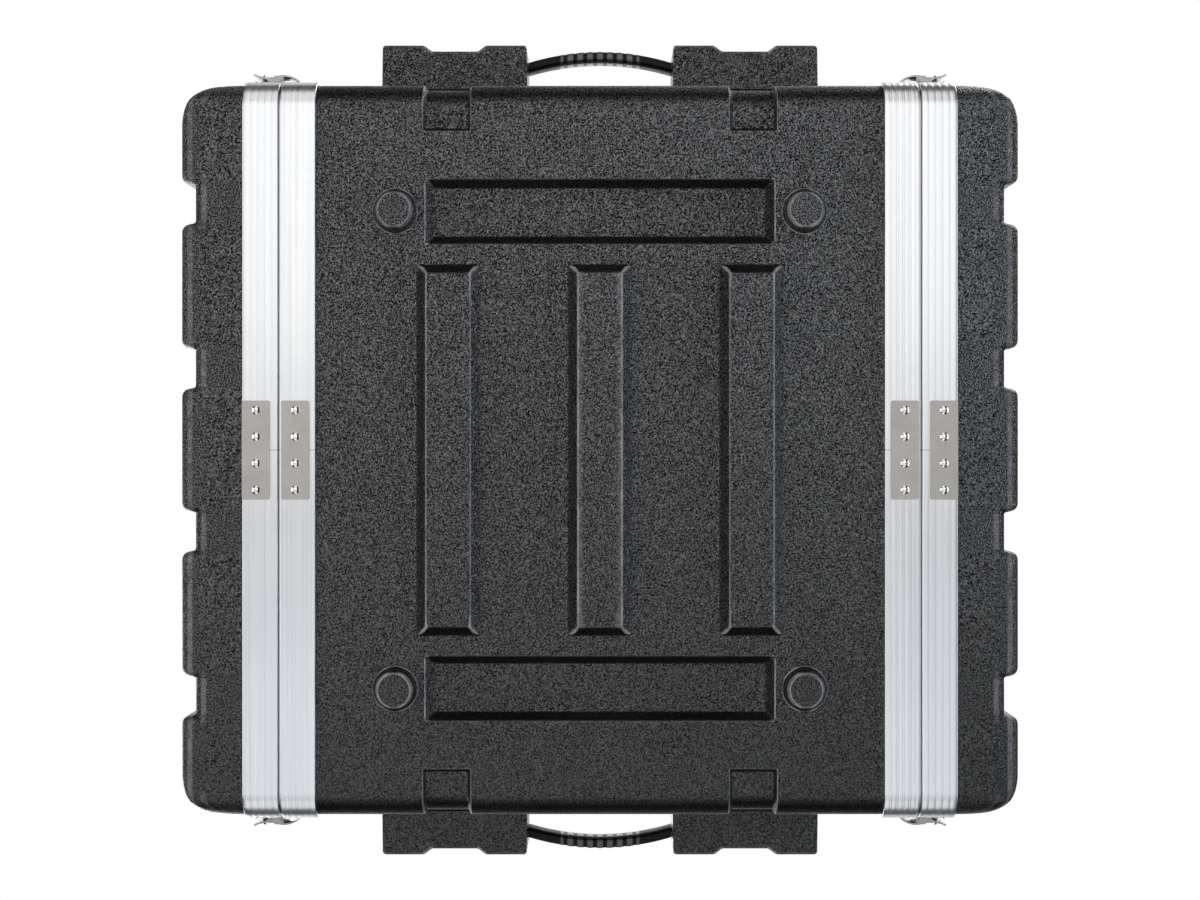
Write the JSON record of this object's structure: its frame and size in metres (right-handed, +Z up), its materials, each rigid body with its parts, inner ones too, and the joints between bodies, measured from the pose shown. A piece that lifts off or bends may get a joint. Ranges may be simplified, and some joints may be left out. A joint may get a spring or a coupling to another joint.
{
  "type": "equipment rack case",
  "caption": "Portable moulded case for 19-inch rack equipment, with lift-off front and rear lids, aluminium frames, draw latches, rack rails and side handles.",
  "frame": {"origin": "centre of the footprint, on the plane that the feet stand on", "axes": "+X to the right seen from the front, +Y from the front lid to the rear lid, +Z up"},
  "size_m": [0.625, 0.608, 0.2345],
  "materials": {
    "abs_shell": "black pebble-grained thermoformed ABS",
    "frame_aluminium": "satin extruded, fine flutes",
    "joint_plate": "satin",
    "rivet": "bright domed",
    "latch_steel": "bright zinc plate",
    "rail_steel": "black powder coat",
    "fastener": "blackened steel",
    "handle_metal": "black satin",
    "grip_rubber": "black, ribbed",
    "seal_foam": "closed-cell foam"
  },
  "bodies": {
    "case": {"lower_shell": "abs_shell", "body_frame_rivets": "rivet", "bracket_screws": "fastener", "front_body_frame": "frame_aluminium", "front_body_joint_plate": "joint_plate", "front_keepers": "latch_steel", "front_left_rail": "rail_steel", "front_right_rail": "rail_steel", "handle_brackets": "handle_metal", "handle_pins": "fastener", "join_rivets": "rivet", "left_join_strip": "frame_aluminium", "rail_bolts": "fastener", "rail_nuts": "fastener", "rear_body_frame": "frame_aluminium", "rear_body_joint_plate": "joint_plate", "rear_keepers": "latch_steel", "rear_left_rail": "rail_steel", "rear_right_rail": "rail_steel", "right_join_strip": "frame_aluminium", "upper_shell": "abs_shell"},
    "front_lid": {"front_latch_bases": "latch_steel", "front_latch_pins": "latch_steel", "front_lid_frame": "frame_aluminium", "front_lid_joint_plate": "joint_plate", "front_lid_rivets": "rivet", "front_lid_seal": "seal_foam", "front_lid_shell": "abs_shell", "front_padlock_staples": "latch_steel"},
    "front_left_lower_claw": {"front_left_lower_claw": "latch_steel"},
    "front_left_lower_lever": {"front_left_lower_lever": "latch_steel"},
    "front_left_upper_claw": {"front_left_upper_claw": "latch_steel"},
    "front_left_upper_lever": {"front_left_upper_lever": "latch_steel"},
    "front_right_lower_claw": {"front_right_lower_claw": "latch_steel"},
    "front_right_lower_lever": {"front_right_lower_lever": "latch_steel"},
    "front_right_upper_claw": {"front_right_upper_claw": "latch_steel"},
    "front_right_upper_lever": {"front_right_upper_lever": "latch_steel"},
    "left_handle": {"left_handle_core": "handle_metal", "left_handle_grip": "grip_rubber"},
    "rear_lid": {"rear_latch_bases": "latch_steel", "rear_latch_pins": "latch_steel", "rear_lid_frame": "frame_aluminium", "rear_lid_joint_plate": "joint_plate", "rear_lid_rivets": "rivet", "rear_lid_seal": "seal_foam", "rear_lid_shell": "abs_shell", "rear_padlock_staples": "latch_steel"},
    "rear_left_lower_claw": {"rear_left_lower_claw": "latch_steel"},
    "rear_left_lower_lever": {"rear_left_lower_lever": "latch_steel"},
    "rear_left_upper_claw": {"rear_left_upper_claw": "latch_steel"},
    "rear_left_upper_lever": {"rear_left_upper_lever": "latch_steel"},
    "rear_right_lower_claw": {"rear_right_lower_claw": "latch_steel"},
    "rear_right_lower_lever": {"rear_right_lower_lever": "latch_steel"},
    "rear_right_upper_claw": {"rear_right_upper_claw": "latch_steel"},
    "rear_right_upper_lever": {"rear_right_upper_lever": "latch_steel"},
    "right_handle": {"right_handle_core": "handle_metal", "right_handle_grip": "grip_rubber"}
  },
  "joints": [
    {"name": "front_lid_slide", "type": "slide", "parent": "case", "child": "front_lid", "axis": [0, -1, 0], "range_m": [0, 0.3]},
    {"name": "rear_lid_slide", "type": "slide", "parent": "case", "child": "rear_lid", "axis": [0, 1, 0], "range_m": [0, 0.3]},
    {"name": "left_handle_swing", "type": "hinge", "parent": "case", "child": "left_handle", "pos_m": [-0.2986, 0, 0.121], "axis": [0, 1, 0], "range_deg": [-80, 80]},
    {"name": "right_handle_swing", "type": "hinge", "parent": "case", "child": "right_handle", "pos_m": [0.2986, 0, 0.121], "axis": [0, 1, 0], "range_deg": [-80, 80]},
    {"name": "front_left_lower_lever_turn", "type": "hinge", "parent": "front_lid", "child": "front_left_lower_lever", "pos_m": [-0.2724, -0.236, 0.048], "axis": [0, 0, -1], "range_deg": [0, 85]},
    {"name": "front_left_lower_claw_turn", "type": "hinge", "parent": "front_left_lower_lever", "child": "front_left_lower_claw", "pos_m": [-0.2721, -0.2415, 0.048], "axis": [0, 0, -1], "range_deg": [-95, 0]},
    {"name": "front_left_upper_lever_turn", "type": "hinge", "parent": "front_lid", "child": "front_left_upper_lever", "pos_m": [-0.2724, -0.236, 0.194], "axis": [0, 0, -1], "range_deg": [0, 85]},
    {"name": "front_left_upper_claw_turn", "type": "hinge", "parent": "front_left_upper_lever", "child": "front_left_upper_claw", "pos_m": [-0.2721, -0.2415, 0.194], "axis": [0, 0, -1], "range_deg": [-95, 0]},
    {"name": "front_right_lower_lever_turn", "type": "hinge", "parent": "front_lid", "child": "front_right_lower_lever", "pos_m": [0.2724, -0.236, 0.048], "axis": [0, 0, 1], "range_deg": [0, 85]},
    {"name": "front_right_lower_claw_turn", "type": "hinge", "parent": "front_right_lower_lever", "child": "front_right_lower_claw", "pos_m": [0.2721, -0.2415, 0.048], "axis": [0, 0, 1], "range_deg": [-95, 0]},
    {"name": "front_right_upper_lever_turn", "type": "hinge", "parent": "front_lid", "child": "front_right_upper_lever", "pos_m": [0.2724, -0.236, 0.194], "axis": [0, 0, 1], "range_deg": [0, 85]},
    {"name": "front_right_upper_claw_turn", "type": "hinge", "parent": "front_right_upper_lever", "child": "front_right_upper_claw", "pos_m": [0.2721, -0.2415, 0.194], "axis": [0, 0, 1], "range_deg": [-95, 0]},
    {"name": "rear_left_lower_lever_turn", "type": "hinge", "parent": "rear_lid", "child": "rear_left_lower_lever", "pos_m": [-0.2724, 0.236, 0.048], "axis": [0, 0, 1], "range_deg": [0, 85]},
    {"name": "rear_left_lower_claw_turn", "type": "hinge", "parent": "rear_left_lower_lever", "child": "rear_left_lower_claw", "pos_m": [-0.2721, 0.2415, 0.048], "axis": [0, 0, 1], "range_deg": [-95, 0]},
    {"name": "rear_left_upper_lever_turn", "type": "hinge", "parent": "rear_lid", "child": "rear_left_upper_lever", "pos_m": [-0.2724, 0.236, 0.194], "axis": [0, 0, 1], "range_deg": [0, 85]},
    {"name": "rear_left_upper_claw_turn", "type": "hinge", "parent": "rear_left_upper_lever", "child": "rear_left_upper_claw", "pos_m": [-0.2721, 0.2415, 0.194], "axis": [0, 0, 1], "range_deg": [-95, 0]},
    {"name": "rear_right_lower_lever_turn", "type": "hinge", "parent": "rear_lid", "child": "rear_right_lower_lever", "pos_m": [0.2724, 0.236, 0.048], "axis": [0, 0, -1], "range_deg": [0, 85]},
    {"name": "rear_right_lower_claw_turn", "type": "hinge", "parent": "rear_right_lower_lever", "child": "rear_right_lower_claw", "pos_m": [0.2721, 0.2415, 0.048], "axis": [0, 0, -1], "range_deg": [-95, 0]},
    {"name": "rear_right_upper_lever_turn", "type": "hinge", "parent": "rear_lid", "child": "rear_right_upper_lever", "pos_m": [0.2724, 0.236, 0.194], "axis": [0, 0, -1], "range_deg": [0, 85]},
    {"name": "rear_right_upper_claw_turn", "type": "hinge", "parent": "rear_right_upper_lever", "child": "rear_right_upper_claw", "pos_m": [0.2721, 0.2415, 0.194], "axis": [0, 0, -1], "range_deg": [-95, 0]}
  ],
  "couplings": [
    {"joint": "front_left_lower_claw_turn", "follows": "front_left_lower_lever_turn", "ratio": -1.1},
    {"joint": "front_left_upper_claw_turn", "follows": "front_left_upper_lever_turn", "ratio": -1.1},
    {"joint": "front_right_lower_claw_turn", "follows": "front_right_lower_lever_turn", "ratio": -1.1},
    {"joint": "front_right_upper_claw_turn", "follows": "front_right_upper_lever_turn", "ratio": -1.1},
    {"joint": "rear_left_lower_claw_turn", "follows": "rear_left_lower_lever_turn", "ratio": -1.1},
    {"joint": "rear_left_upper_claw_turn", "follows": "rear_left_upper_lever_turn", "ratio": -1.1},
    {"joint": "rear_right_lower_claw_turn", "follows": "rear_right_lower_lever_turn", "ratio": -1.1},
    {"joint": "rear_right_upper_claw_turn", "follows": "rear_right_upper_lever_turn", "ratio": -1.1}
  ]
}
